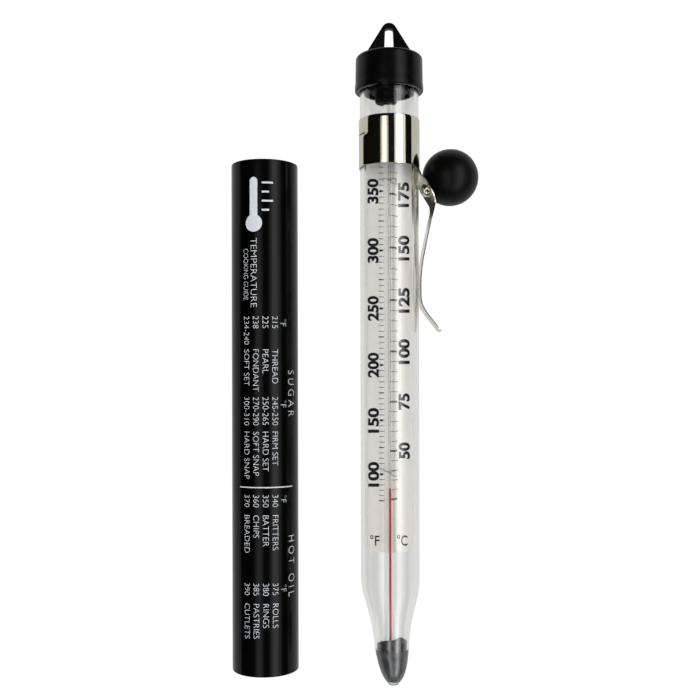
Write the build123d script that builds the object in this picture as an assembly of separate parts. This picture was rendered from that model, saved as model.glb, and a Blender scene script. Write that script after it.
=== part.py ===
from build123d import *
import math
import os

os.makedirs("parts", exist_ok=True)

# Frame: millimetres, the set lies on a table at z = 0, the cap points to +Y.
LENGTH = 203.2
TIP_Y = -LENGTH / 2
AXIS_X = 10.45
AXIS_Z = 10.5
TOP_Y = LENGTH / 2

# Glass envelope
GLASS_R = 9.0
GLASS_WALL = 1.2
GLASS_MOUTH_Y = 89.4
NECK_START_Y = -69.0
# Outside radius and sideways drift of the drawn tip, from the neck to the nib
TIP_SECTIONS = [
    (-69.0, 9.0, 0.0),
    (-71.5, 8.6, 0.1),
    (-75.0, 8.0, 0.2),
    (-79.0, 6.9, 0.3),
    (-83.0, 6.0, 0.35),
    (-87.0, 5.45, 0.4),
    (-91.0, 5.1, 0.5),
    (-95.0, 4.45, 0.75),
    (-98.4, 3.5, 0.9),
    (-100.6, 2.0, 0.9),
    (-101.3, 1.2, 0.9),
    (TIP_Y, 0.4, 0.9),
]
TIP_WALL = 1.0
TIP_INNER_END_Y = -98.4

# Cap and hanging ear
CAP_RIM_Y = 80.4
CAP_TOP_Y = 91.3
CAP_TOP_R = 10.2
CAP_RIM_R = 10.5
CAP_SHOULDER = 1.1
CAP_RIM_CHAMFER = 0.35
CAP_BORE_R = GLASS_R
EAR_THICKNESS = 2.4
EAR_BASE_WIDTH = 16.2
EAR_BASE_HEIGHT = 0.02
EAR_TIP_R = 2.35
EAR_ROOT_DEPTH = 0.6
SLOT_FOOT_WIDTH = 3.0
SLOT_FOOT_HEIGHT = 0.1
SLOT_TOP_R = 1.15
SLOT_LOW_Y = 92.2
SLOT_HIGH_Y = 99.9

# Stopper parts
PLUG_R = 6.2
PLUG_EDGE_R = 0.6
PLUG_FLANGE_R = GLASS_R - GLASS_WALL
PLUG_FLANGE_LOW_Y = 83.0
PLUG_LOW_Y = 80.2
BUSH_R = 2.9
BUSH_LOW_Y = 76.9
BUSH_TOP_Y = 83.0

# Stem, bulb and spirit
STEM_R = 1.8
STEM_BORE_R = 0.3
STEM_TOP_Y = 82.0
STEM_LOW_Y = -88.2
BULB_R = 2.4
BULB_WALL = 0.5
BULB_LOW_Y = -97.0
BULB_TOP_Y = -87.6
BULB_X = 0.3
COLUMN_TOP_Y = -40.8
COLUMN_R = 0.25
COLUMN_TOP_LENGTH = 12.0
COLUMN_LOW_GAP = 0.05
COLUMN_JOIN_GAP = 0.02

# Card
CARD_WIDTH = 14.7
CARD_THICKNESS = 0.4
CARD_FRONT_Z = -1.9
CARD_LOW_Y = -60.8
CARD_TOP_Y = 70.4
CARD_CORNER_R = 1.6

# Wire ties
TIE_WIRE_R = 0.25
TIE_LOOP_R = STEM_R + 0.27
UPPER_TIE_Y = 53.6
LOWER_TIE_Y = -35.6
TIE_LEG_BEHIND_CARD = 0.7
TIE_HOLE_CLEARANCE = 0.1

# Filling
FILLING_TOP_Y = -87.4
FILLING_CLEARANCE = 0.05

# Clip
COLLAR_INNER_R = 9.06
SHEET = 0.3
COLLAR_TOP_Y = 71.7
COLLAR_LOW_Y = 57.0
SEAM_STEP_Y = 66.6
SEAM_SLIT = 0.4
SEAM_GAP_DEG = 4.0
SEAM_LOWER_DEG = 151.0
SEAM_UPPER_DEG = 205.0
SEAM_REACH = COLLAR_INNER_R + 3
CLIP_ROLL_DEG = 5.6
ARM_ROOT_Y = COLLAR_LOW_Y - 0.1
ARM_ROOT_HALF_DEG = 46.0
ARM_SHOULDER_WIDTH = 13.0
ARM_FOOT_WIDTH = 5.6
# Half the arm's width at each y, from above the shoulder to the start of the even strip
ARM_TAPER = [(ARM_SHOULDER_WIDTH / 2, 60.0), (ARM_SHOULDER_WIDTH / 2, 49.0), (4.7, 46.2), (3.2, 44.6)]
ARM_EVEN_Y = 43.2
# Middle of the sheet, as (distance from the tube's axis, y), from the root to the flared foot
ARM_SHOULDER = [(10.72, 51.92), (11.43, 50.60), (12.12, 49.33), (12.80, 48.08)]
ARM_BEND = [(13.42, 46.3), (13.15, 43.7), (12.27, 40.1)]
ARM_LOWER = [(11.06, 34.5), (10.05, 29.4), (9.42, 24.6), (9.3, 20.0), (9.55, 15.9)]
ARM_FOOT = [(11.2, 12.75), (13.3, 10.05), (15.65, 7.1)]

# Ball knob and its screw
BALL_R = 8.65
BALL_DISTANCE = 19.0
BALL_Y = 54.7
SEAT_TO_CENTRE = 8.3
SCREW_TILT_DEG = 28.5
INSERT_R = 2.1
INSERT_LENGTH = 7.0
SCREW_R = 1.45
SCREW_LENGTH = 6.6
SCREW_HEAD_R = 1.9
SCREW_HEAD_HEIGHT = 1.0
SCREW_HEAD_GAP = 0.24
SCREW_HOLE_CLEARANCE = 0.05

# Cover sleeve
SLEEVE_X = -27.85
SLEEVE_R = 10.15
SLEEVE_BORE_R = 9.2
SLEEVE_LOW_Y = -96.2
SLEEVE_TOP_Y = 58.1
SLEEVE_EDGE_R = 0.25

# Lengths that only need to pass right through a piece
THROUGH = 40.0
PAST = 1.0


def on_axis(shape):
    """Put a shape made around the origin onto the tube's axis."""
    return Pos(AXIS_X, 0, AXIS_Z) * shape


def rod(radius, low_y, high_y, x=0.0, z=0.0):
    """A round bar along Y between two heights."""
    bar = Cylinder(radius, high_y - low_y, align=(Align.CENTER, Align.CENTER, Align.MIN))
    return Pos(x, low_y, z) * Rot(-90, 0, 0) * bar


def ring(outer, inner, low_y, high_y):
    """A round pipe along Y."""
    return rod(outer, low_y, high_y) - rod(inner, low_y - PAST, high_y + PAST)


def disc_face(y, radius, x):
    """A flat round face that looks along Y."""
    plane = Plane(origin=(x, y, 0), x_dir=(1, 0, 0), z_dir=(0, 1, 0))
    return plane * Circle(radius)


def tip_solid(inset, last_y):
    """The drawn tip as a smooth solid, inset from the outside surface."""
    faces = []
    for y, radius, drift in TIP_SECTIONS:
        if y >= last_y:
            faces.append(disc_face(y, radius - inset, drift))
    return loft(faces)


def glass_tube():
    outer = rod(GLASS_R, NECK_START_Y, GLASS_MOUTH_Y) + tip_solid(0, TIP_Y)
    inner = rod(GLASS_R - GLASS_WALL, NECK_START_Y, GLASS_MOUTH_Y + PAST)
    inner += tip_solid(TIP_WALL, TIP_INNER_END_Y)
    return on_axis(outer - inner)


def hanging_ear():
    """A flat plate with a round top and a tapered slot, standing on the cap."""
    base = Pos(0, CAP_TOP_Y - EAR_ROOT_DEPTH) * Rectangle(EAR_BASE_WIDTH, EAR_BASE_HEIGHT)
    round_top = Pos(0, TOP_Y - EAR_TIP_R) * Circle(EAR_TIP_R)
    outline = make_hull(base.edges() + round_top.edges())
    plate = Pos(0, 0, -EAR_THICKNESS / 2) * extrude(outline, EAR_THICKNESS)
    foot = Pos(0, SLOT_LOW_Y + SLOT_FOOT_HEIGHT / 2) * Rectangle(SLOT_FOOT_WIDTH, SLOT_FOOT_HEIGHT)
    arch = Pos(0, SLOT_HIGH_Y - SLOT_TOP_R) * Circle(SLOT_TOP_R)
    slot = make_hull(foot.edges() + arch.edges())
    cutter = Pos(0, 0, -EAR_THICKNESS) * extrude(slot, 2 * EAR_THICKNESS)
    return plate - cutter


def cap():
    length = CAP_TOP_Y - CAP_RIM_Y
    body = Cone(CAP_RIM_R, CAP_TOP_R, length, align=(Align.CENTER, Align.CENTER, Align.MIN))
    body = Pos(0, CAP_RIM_Y, 0) * Rot(-90, 0, 0) * body
    ends = body.edges().sort_by(Axis.Y)
    body = fillet(ends[-1], CAP_SHOULDER)
    rim = body.edges().sort_by(Axis.Y)[0]
    body = chamfer(rim, CAP_RIM_CHAMFER)
    body -= rod(CAP_BORE_R, CAP_RIM_Y - PAST, GLASS_MOUTH_Y)
    return on_axis(body + hanging_ear())


def cap_plug():
    flange = rod(PLUG_FLANGE_R, PLUG_FLANGE_LOW_Y, GLASS_MOUTH_Y)
    neck = rod(PLUG_R, PLUG_LOW_Y, PLUG_FLANGE_LOW_Y)
    edge = neck.edges().sort_by(Axis.Y)[0]
    neck = fillet(edge, PLUG_EDGE_R)
    return on_axis(flange + neck - rod(BUSH_R, PLUG_LOW_Y - PAST, BUSH_TOP_Y))


def stem_bush():
    bush = rod(BUSH_R, BUSH_LOW_Y, BUSH_TOP_Y)
    return on_axis(bush - rod(STEM_R, BUSH_LOW_Y - PAST, STEM_TOP_Y))


def capillary_stem():
    return on_axis(ring(STEM_R, STEM_BORE_R, STEM_LOW_Y, STEM_TOP_Y))


def capsule(radius, low_y, high_y):
    """A round-ended bar along Y, on the bulb's own line."""
    bar = rod(radius, low_y + radius, high_y - radius, BULB_X)
    bar += Pos(BULB_X, low_y + radius, 0) * Sphere(radius)
    return bar + Pos(BULB_X, high_y - radius, 0) * Sphere(radius)


def spirit_bulb():
    shell = capsule(BULB_R, BULB_LOW_Y, BULB_TOP_Y)
    shell -= capsule(BULB_R - BULB_WALL, BULB_LOW_Y + BULB_WALL, STEM_LOW_Y)
    shell -= rod(STEM_R, STEM_LOW_Y, BULB_TOP_Y + PAST)
    shell -= rod(STEM_BORE_R, STEM_LOW_Y - BULB_R, BULB_TOP_Y)
    return on_axis(shell)


def bulb_spirit():
    return on_axis(capsule(BULB_R - BULB_WALL, BULB_LOW_Y + BULB_WALL, STEM_LOW_Y))


def spirit_column():
    return on_axis(rod(COLUMN_R, STEM_LOW_Y + COLUMN_LOW_GAP, COLUMN_TOP_Y - COLUMN_TOP_LENGTH))


def column_top():
    low_y = COLUMN_TOP_Y - COLUMN_TOP_LENGTH + COLUMN_JOIN_GAP
    return on_axis(rod(COLUMN_R, low_y, COLUMN_TOP_Y))


def scale_card():
    height = CARD_TOP_Y - CARD_LOW_Y
    face = RectangleRounded(CARD_WIDTH, height, CARD_CORNER_R)
    card = extrude(face, CARD_THICKNESS)
    middle_y = (CARD_TOP_Y + CARD_LOW_Y) / 2
    card = Pos(0, middle_y, CARD_FRONT_Z - CARD_THICKNESS) * card
    for y in (UPPER_TIE_Y, LOWER_TIE_Y):
        for side in (-1, 1):
            hole = Cylinder(TIE_WIRE_R + TIE_HOLE_CLEARANCE, 2 * PAST)
            card -= Pos(side * TIE_LOOP_R, y, CARD_FRONT_Z) * hole
    return on_axis(card)


def wire_tie(y):
    """A wire hoop over the stem whose two legs pass through the card."""
    leg_z = CARD_FRONT_Z - CARD_THICKNESS - TIE_LEG_BEHIND_CARD
    arch = ThreePointArc((-TIE_LOOP_R, 0), (0, TIE_LOOP_R), (TIE_LOOP_R, 0))
    left = Line((-TIE_LOOP_R, leg_z), (-TIE_LOOP_R, 0))
    right = Line((TIE_LOOP_R, 0), (TIE_LOOP_R, leg_z))
    path = Plane(origin=(0, y, 0), x_dir=(1, 0, 0), z_dir=(0, -1, 0)) * Wire([left, arch, right])
    start = Plane(origin=(-TIE_LOOP_R, y, leg_z), z_dir=(0, 0, 1))
    return on_axis(sweep(start * Circle(TIE_WIRE_R), path=path))


def tip_filling():
    """Metal run into the drawn tip round the bulb, flat at its top."""
    solid = tip_solid(TIP_WALL + FILLING_CLEARANCE, TIP_INNER_END_Y)
    solid -= rod(THROUGH, FILLING_TOP_Y, 0)
    solid -= capsule(BULB_R, BULB_LOW_Y, BULB_TOP_Y)
    solid -= rod(STEM_R + FILLING_CLEARANCE, STEM_LOW_Y, 0)
    return on_axis(solid)


def roll_clip(shape):
    """Turn a clip piece round the tube so that the ball rests on the table."""
    return on_axis(Rot(0, CLIP_ROLL_DEG, 0) * shape)


def sector(first_deg, last_deg, low_y, high_y):
    """A wedge about the tube's axis that cuts the collar, by angles from +X towards +Z."""
    first = math.radians(first_deg)
    last = math.radians(last_deg)
    a = (SEAM_REACH * math.cos(first), SEAM_REACH * math.sin(first))
    b = (SEAM_REACH * math.cos(last), SEAM_REACH * math.sin(last))
    plane = Plane(origin=(0, high_y, 0), x_dir=(1, 0, 0), z_dir=(0, -1, 0))
    return extrude(plane * make_face(Polyline((0, 0), a, b, close=True)), high_y - low_y)


def clip_collar():
    """A sprung band that doesn't quite close: its seam steps sideways part way up."""
    slit_top = SEAM_STEP_Y + SEAM_SLIT
    half = SEAM_GAP_DEG / 2
    band = ring(COLLAR_INNER_R + SHEET, COLLAR_INNER_R, COLLAR_LOW_Y, COLLAR_TOP_Y)
    band -= sector(SEAM_UPPER_DEG - half, SEAM_UPPER_DEG + half, SEAM_STEP_Y, COLLAR_TOP_Y + PAST)
    band -= sector(SEAM_LOWER_DEG - half, SEAM_LOWER_DEG + half, COLLAR_LOW_Y - PAST, slit_top)
    band -= sector(SEAM_LOWER_DEG, SEAM_UPPER_DEG, SEAM_STEP_Y, slit_top)
    return roll_clip(band)


def root_face():
    """The arm's curved end, a piece of the collar's own section."""
    half = math.radians(ARM_ROOT_HALF_DEG)
    inner = COLLAR_INNER_R
    outer = COLLAR_INNER_R + SHEET
    across = math.cos(half)
    up = math.sin(half)
    edges = [
        ThreePointArc((outer * across, -outer * up), (outer, 0), (outer * across, outer * up)),
        Line((outer * across, outer * up), (inner * across, inner * up)),
        ThreePointArc((inner * across, inner * up), (inner, 0), (inner * across, -inner * up)),
        Line((inner * across, -inner * up), (outer * across, -outer * up)),
    ]
    plane = Plane(origin=(0, ARM_ROOT_Y, 0), x_dir=(1, 0, 0), z_dir=(0, -1, 0))
    return plane * make_face(Wire(edges))


def shoulder_face():
    """The flat section where the sloping strip takes over from the curved root."""
    x, y = ARM_SHOULDER[0]
    tilt = math.radians(SCREW_TILT_DEG)
    across = (math.cos(tilt), math.sin(tilt), 0)
    along = (math.sin(tilt), -math.cos(tilt), 0)
    plane = Plane(origin=(x, y, 0), x_dir=across, z_dir=along)
    return plane * Rectangle(SHEET, ARM_SHOULDER_WIDTH)


def strip_normal(points, index):
    """Unit direction across the sheet at one point of the arm's middle line."""
    before = points[max(index - 1, 0)]
    after = points[min(index + 1, len(points) - 1)]
    dx = after[0] - before[0]
    dy = after[1] - before[1]
    size = math.hypot(dx, dy)
    return -dy / size, dx / size


def strip_profile(points):
    """Both faces of the sheet as smooth curves, closed at its ends."""
    outer = []
    inner = []
    for index, (x, y) in enumerate(points):
        nx, ny = strip_normal(points, index)
        outer.append((x + nx * SHEET / 2, y + ny * SHEET / 2))
        inner.append((x - nx * SHEET / 2, y - ny * SHEET / 2))
    edges = [
        Spline(*outer),
        Line(outer[-1], inner[-1]),
        Spline(*reversed(inner)),
        Line(inner[0], outer[0]),
    ]
    return make_face(Wire(edges))


def strip_plan():
    """The arm's outline seen from the ball's side, wide at the shoulder and narrow at the foot."""
    slim = ARM_FOOT_WIDTH / 2
    past_foot_y = ARM_FOOT[-1][1] - 2 * PAST
    side = ARM_TAPER + [(slim, ARM_EVEN_Y), (slim, past_foot_y)]
    points = side + [(-half, y) for half, y in reversed(side)]
    plane = Plane(origin=(0, 0, 0), x_dir=(0, 0, 1), z_dir=(1, 0, 0))
    turned = [(z, -y) for z, y in points]
    return extrude(plane * make_face(Polyline(*turned, close=True)), THROUGH)


def knob_place(along):
    """A frame on the screw's line, a distance from the ball's centre towards the arm."""
    tilt = math.radians(SCREW_TILT_DEG)
    x = BALL_DISTANCE - along * math.cos(tilt)
    y = BALL_Y - along * math.sin(tilt)
    out = (math.cos(tilt), math.sin(tilt), 0)
    return Plane(origin=(x, y, 0), x_dir=(0, 0, 1), z_dir=out)


def clip_arm():
    points = ARM_SHOULDER + ARM_BEND + ARM_LOWER + ARM_FOOT
    strip = extrude(strip_profile(points), THROUGH / 2, both=True)
    strip = strip & strip_plan()
    strip += loft([root_face(), shoulder_face()], ruled=True)
    drill = Cylinder(SCREW_R + SCREW_HOLE_CLEARANCE, BALL_R)
    screw_hole = knob_place(SEAT_TO_CENTRE + BALL_R / 2) * drill
    return roll_clip(strip - screw_hole)


def ball_knob():
    ball = Pos(BALL_DISTANCE, BALL_Y, 0) * Sphere(BALL_R)
    ball -= knob_place(SEAT_TO_CENTRE + BALL_R) * Cylinder(BALL_R, 2 * BALL_R)
    pocket = knob_place(SEAT_TO_CENTRE - INSERT_LENGTH / 2)
    ball -= pocket * Cylinder(INSERT_R, INSERT_LENGTH)
    return roll_clip(ball)


def knob_insert():
    place = knob_place(SEAT_TO_CENTRE - INSERT_LENGTH / 2)
    insert = place * Cylinder(INSERT_R, INSERT_LENGTH)
    insert -= place * Cylinder(SCREW_R, INSERT_LENGTH + 2 * PAST)
    return roll_clip(insert)


def knob_screw():
    seat = SEAT_TO_CENTRE + SHEET + SCREW_HEAD_GAP
    shank = knob_place(seat - SCREW_LENGTH / 2) * Cylinder(SCREW_R, SCREW_LENGTH)
    round_r = (SCREW_HEAD_R**2 + SCREW_HEAD_HEIGHT**2) / (2 * SCREW_HEAD_HEIGHT)
    dome = knob_place(seat - (round_r - SCREW_HEAD_HEIGHT)) * Sphere(round_r)
    keep = knob_place(seat + SCREW_HEAD_HEIGHT) * Cylinder(SCREW_HEAD_R + PAST, 2 * SCREW_HEAD_HEIGHT)
    return roll_clip(shank + (dome & keep))


def sleeve():
    pipe = ring(SLEEVE_R, SLEEVE_BORE_R, SLEEVE_LOW_Y, SLEEVE_TOP_Y)
    ends = pipe.edges().filter_by(GeomType.CIRCLE)
    pipe = fillet(ends, SLEEVE_EDGE_R)
    return Pos(SLEEVE_X, 0, SLEEVE_R) * pipe


export_step(glass_tube(), "parts/glass_tube.step")
export_step(cap(), "parts/cap.step")
export_step(cap_plug(), "parts/cap_plug.step")
export_step(stem_bush(), "parts/stem_bush.step")
export_step(capillary_stem(), "parts/capillary_stem.step")
export_step(spirit_bulb(), "parts/spirit_bulb.step")
export_step(bulb_spirit(), "parts/bulb_spirit.step")
export_step(spirit_column(), "parts/spirit_column.step")
export_step(column_top(), "parts/column_top.step")
export_step(scale_card(), "parts/scale_card.step")
export_step(wire_tie(UPPER_TIE_Y), "parts/upper_tie.step")
export_step(wire_tie(LOWER_TIE_Y), "parts/lower_tie.step")
export_step(tip_filling(), "parts/tip_filling.step")
export_step(clip_collar(), "parts/clip_collar.step")
export_step(clip_arm(), "parts/clip_arm.step")
export_step(ball_knob(), "parts/ball_knob.step")
export_step(knob_insert(), "parts/knob_insert.step")
export_step(knob_screw(), "parts/knob_screw.step")
export_step(sleeve(), "parts/sleeve.step")
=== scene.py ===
import math

import bmesh
import bpy
from mathutils import Matrix, Vector, noise

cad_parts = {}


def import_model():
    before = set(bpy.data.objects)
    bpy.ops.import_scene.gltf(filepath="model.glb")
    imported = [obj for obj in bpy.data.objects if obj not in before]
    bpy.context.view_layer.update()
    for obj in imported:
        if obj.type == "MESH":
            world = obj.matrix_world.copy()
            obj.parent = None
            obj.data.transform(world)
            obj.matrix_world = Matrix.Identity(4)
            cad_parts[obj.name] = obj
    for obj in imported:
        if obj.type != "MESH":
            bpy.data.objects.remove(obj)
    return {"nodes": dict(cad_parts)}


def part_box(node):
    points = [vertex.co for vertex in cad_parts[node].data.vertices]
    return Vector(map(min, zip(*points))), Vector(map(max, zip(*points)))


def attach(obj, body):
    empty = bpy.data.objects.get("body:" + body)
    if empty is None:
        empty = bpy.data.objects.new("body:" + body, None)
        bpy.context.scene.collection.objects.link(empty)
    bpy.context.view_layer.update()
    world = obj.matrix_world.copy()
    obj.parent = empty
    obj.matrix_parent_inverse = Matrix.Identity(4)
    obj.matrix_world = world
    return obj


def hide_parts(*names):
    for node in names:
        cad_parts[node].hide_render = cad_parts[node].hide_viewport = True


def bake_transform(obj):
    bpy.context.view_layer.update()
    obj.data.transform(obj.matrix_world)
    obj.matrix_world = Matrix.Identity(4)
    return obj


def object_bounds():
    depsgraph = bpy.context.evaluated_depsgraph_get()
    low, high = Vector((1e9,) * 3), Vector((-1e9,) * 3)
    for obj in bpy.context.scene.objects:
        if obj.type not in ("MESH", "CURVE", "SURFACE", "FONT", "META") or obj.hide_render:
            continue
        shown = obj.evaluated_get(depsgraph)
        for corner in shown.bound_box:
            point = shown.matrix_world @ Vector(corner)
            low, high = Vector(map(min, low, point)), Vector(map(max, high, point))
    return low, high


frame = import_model()
CAD_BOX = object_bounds()

MM = 0.001
TAU = 2 * math.pi

# ---------------- places from the frame
GLASS_LOW, GLASS_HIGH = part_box("glass_tube")
CAP_LOW, CAP_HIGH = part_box("cap")
CARD_LOW, CARD_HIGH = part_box("scale_card")
COLLAR_LOW, COLLAR_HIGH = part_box("clip_collar")
BALL_LOW, BALL_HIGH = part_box("ball_knob")
SLEEVE_LOW, SLEEVE_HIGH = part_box("sleeve")
PLUG_LOW, PLUG_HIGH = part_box("cap_plug")
BUSH_LOW, BUSH_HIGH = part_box("stem_bush")
STEM_LOW, STEM_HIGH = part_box("capillary_stem")
COLUMN_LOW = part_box("spirit_column")[0]
LEVEL_LOW, LEVEL_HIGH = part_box("column_top")

GLASS_R = (GLASS_HIGH.x - GLASS_LOW.x) / 2
AXIS = Vector(((GLASS_HIGH.x + GLASS_LOW.x) / 2, 0, (GLASS_HIGH.z + GLASS_LOW.z) / 2))
STEM_R = (STEM_HIGH.x - STEM_LOW.x) / 2
BALL_R = (BALL_HIGH.x - BALL_LOW.x) / 2
BALL = Vector((BALL_LOW.x + BALL_R, BALL_LOW.y + BALL_R, BALL_HIGH.z - BALL_R))
SLEEVE_R = (SLEEVE_HIGH.x - SLEEVE_LOW.x) / 2
SLEEVE_AXIS = Vector((SLEEVE_LOW.x + SLEEVE_R, 0, SLEEVE_LOW.z + SLEEVE_R))
# How far the clip is turned round the tube, from +X towards +Z
ROLL = math.atan2(BALL.z - AXIS.z, BALL.x - AXIS.x)


# ---------------- mesh helpers
def new_object(name, mesh):
    obj = bpy.data.objects.new(name, mesh)
    bpy.context.scene.collection.objects.link(obj)
    return obj


def mesh_object(name, verts, faces, sharp_deg=40):
    """A smooth-shaded closed mesh whose normals face out."""
    mesh = bpy.data.meshes.new(name)
    mesh.from_pydata(verts, [], faces)
    tidy(mesh, sharp_deg)
    return new_object(name, mesh)


def shade(mesh, sharp_deg):
    """Smooth shading, with hard edges where faces meet at more than the angle."""
    mesh.shade_smooth()
    mesh.set_sharp_from_angle(angle=math.radians(sharp_deg))


def tidy(mesh, sharp_deg=40):
    """Merge doubled points, turn the normals out and shade."""
    bm = bmesh.new()
    bm.from_mesh(mesh)
    bmesh.ops.remove_doubles(bm, verts=bm.verts, dist=1e-7)
    bmesh.ops.dissolve_degenerate(bm, edges=bm.edges, dist=1e-8)
    bmesh.ops.recalc_face_normals(bm, faces=bm.faces)
    bm.to_mesh(mesh)
    bm.free()
    shade(mesh, sharp_deg)


def rounded(corners, steps=6):
    """An outline's corners, each (y, r, fillet radius), as points with the fillets drawn as arcs."""
    points = []
    count = len(corners)
    for i, (y, r, fillet) in enumerate(corners):
        here = Vector((y, r))
        before = Vector(corners[i - 1][:2])
        after = Vector(corners[(i + 1) % count][:2])
        if fillet <= 0:
            points.append(here)
            continue
        to_before = (before - here).normalized()
        to_after = (after - here).normalized()
        half = to_before.angle(to_after) / 2
        reach = fillet / math.tan(half)
        centre = here + (to_before + to_after).normalized() * (fillet / math.sin(half))
        first = here + to_before * reach - centre
        last = here + to_after * reach - centre
        sweep = first.angle_signed(last)
        for k in range(steps + 1):
            turned = first.copy()
            turned.rotate(Matrix.Rotation(-sweep * k / steps, 2))
            points.append(centre + turned)
    return [(p.x, p.y) for p in points]


def skin(rings, steps, closed=False):
    """The quads between rings of points, and between the last and the first if closed."""
    faces = []
    for i in range(rings if closed else rings - 1):
        j = (i + 1) % rings
        for k in range(steps):
            n = (k + 1) % steps
            faces.append((i * steps + k, i * steps + n, j * steps + n, j * steps + k))
    return faces


def lathe(name, outline, axis, steps=128, drift=None):
    """A solid turned about the line through axis along Y. outline is its closed section, [(y, r)]."""
    verts = []
    for y, r in outline:
        shift = drift(y) if drift else 0.0
        for k in range(steps):
            a = TAU * k / steps
            verts.append((axis.x + shift + r * math.cos(a), y, axis.z + r * math.sin(a)))
    return mesh_object(name, verts, skin(len(outline), steps, True))


def tube_along(name, points, radius, sides=12):
    """A round wire that follows points, closed at its ends."""
    verts = []
    count = len(points)
    side = None
    for i, p in enumerate(points):
        ahead = points[min(i + 1, count - 1)] - points[max(i - 1, 0)]
        ahead.normalize()
        if side is None:
            side = ahead.orthogonal().normalized()
        side = (side - ahead * side.dot(ahead)).normalized()
        other = ahead.cross(side)
        for k in range(sides):
            a = TAU * k / sides
            verts.append(p + side * (radius * math.cos(a)) + other * (radius * math.sin(a)))
    faces = skin(count, sides)
    faces.append(tuple(reversed(range(sides))))
    faces.append(tuple((count - 1) * sides + k for k in range(sides)))
    return mesh_object(name, verts, faces, 60)


def smooth_step(t):
    """An even rise from 0 to 1, flat at both ends."""
    t = min(max(t, 0.0), 1.0)
    return t * t * (3 - 2 * t)


def curve_through(stations, y):
    """The value at y of straight lines through stations, [(y, value)] in falling y."""
    if y >= stations[0][0]:
        return stations[0][1]
    for (y0, v0), (y1, v1) in zip(stations, stations[1:]):
        if y >= y1:
            return v0 + (v1 - v0) * (y0 - y) / (y0 - y1)
    return stations[-1][1]


def catmull(points, per_span=8):
    """A Catmull-Rom curve through 2D or 3D points."""
    pts = [2 * points[0] - points[1]] + list(points) + [2 * points[-1] - points[-2]]
    line = []
    for i in range(1, len(pts) - 2):
        p0, p1, p2, p3 = pts[i - 1], pts[i], pts[i + 1], pts[i + 2]
        for k in range(per_span):
            t = k / per_span
            line.append(
                0.5 * (2 * p1 + (p2 - p0) * t + (2 * p0 - 5 * p1 + 4 * p2 - p3) * t**2
                       + (3 * p1 - p0 - 3 * p2 + p3) * t**3)
            )
    line.append(points[-1].copy())
    return line


# ---------------- materials
def new_material(name):
    """A material, its nodes and links, and its shader."""
    mat = bpy.data.materials.new(name)
    mat.use_nodes = True
    nodes = mat.node_tree.nodes
    return mat, nodes, mat.node_tree.links, nodes["Principled BSDF"]


def ramp(nodes, links, source, low, high, values):
    """A map of a 0 to 1 source onto two grey or colour stops."""
    node = nodes.new("ShaderNodeValToRGB")
    node.color_ramp.elements[0].position = low
    node.color_ramp.elements[1].position = high
    for element, value in zip(node.color_ramp.elements, values):
        element.color = value if len(value) == 4 else (*value, 1)
    links.new(source, node.inputs["Fac"])
    return node.outputs["Color"]


def noise_at(nodes, links, scale, detail=4, stretch=(1, 1, 1), kind="ShaderNodeTexNoise"):
    """Noise in object space, metres, with an optional stretch."""
    place = nodes.new("ShaderNodeTexCoord")
    mapping = nodes.new("ShaderNodeMapping")
    mapping.inputs["Scale"].default_value = stretch
    links.new(place.outputs["Object"], mapping.inputs["Vector"])
    tex = nodes.new(kind)
    tex.inputs["Scale"].default_value = scale
    if "Detail" in tex.inputs:
        tex.inputs["Detail"].default_value = detail
    links.new(mapping.outputs["Vector"], tex.inputs["Vector"])
    return tex


def bump_from(nodes, links, source, strength, distance, shader):
    """Relief from a 0 to 1 source, distance metres deep at full strength."""
    bump = nodes.new("ShaderNodeBump")
    bump.inputs["Strength"].default_value = strength
    bump.inputs["Distance"].default_value = distance
    links.new(source, bump.inputs["Height"])
    links.new(bump.outputs["Normal"], shader.inputs["Normal"])


def black_plastic(name, tone, rough_low, rough_high, grain=2500, bump=0.12):
    """Moulded black plastic: fine grain in the surface, a little handling wear in the gloss."""
    mat, nodes, links, shader = new_material(name)
    shader.inputs["IOR"].default_value = 1.49
    shader.inputs["Specular IOR Level"].default_value = 0.13
    patches = noise_at(nodes, links, 140, 5)
    tint = ramp(nodes, links, patches.outputs["Fac"], 0.35, 0.7, [tone, [c * 1.8 for c in tone]])
    links.new(tint, shader.inputs["Base Color"])
    wear = noise_at(nodes, links, 420, 6, (1, 0.4, 1))
    gloss = ramp(nodes, links, wear.outputs["Fac"], 0.3, 0.75, [(rough_low,) * 3, (rough_high,) * 3])
    links.new(gloss, shader.inputs["Roughness"])
    fine = noise_at(nodes, links, grain, 3)
    bump_from(nodes, links, fine.outputs["Fac"], bump, 0.02 * MM, shader)
    return mat


def glass(name, tint, ior=1.47):
    """Drawn glass with faint lengthwise draw lines."""
    mat, nodes, links, shader = new_material(name)
    shader.inputs["Base Color"].default_value = (*tint, 1)
    shader.inputs["Roughness"].default_value = 0.0
    shader.inputs["IOR"].default_value = ior
    shader.inputs["Transmission Weight"].default_value = 1.0
    lines = noise_at(nodes, links, 260, 2, (1, 0.02, 1))
    bump_from(nodes, links, lines.outputs["Fac"], 0.06, 0.05 * MM, shader)
    body = nodes.new("ShaderNodeVolumeAbsorption")
    body.inputs["Color"].default_value = (0.74, 0.745, 0.71, 1)
    body.inputs["Density"].default_value = 90
    links.new(body.outputs["Volume"], nodes["Material Output"].inputs["Volume"])
    return mat


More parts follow.
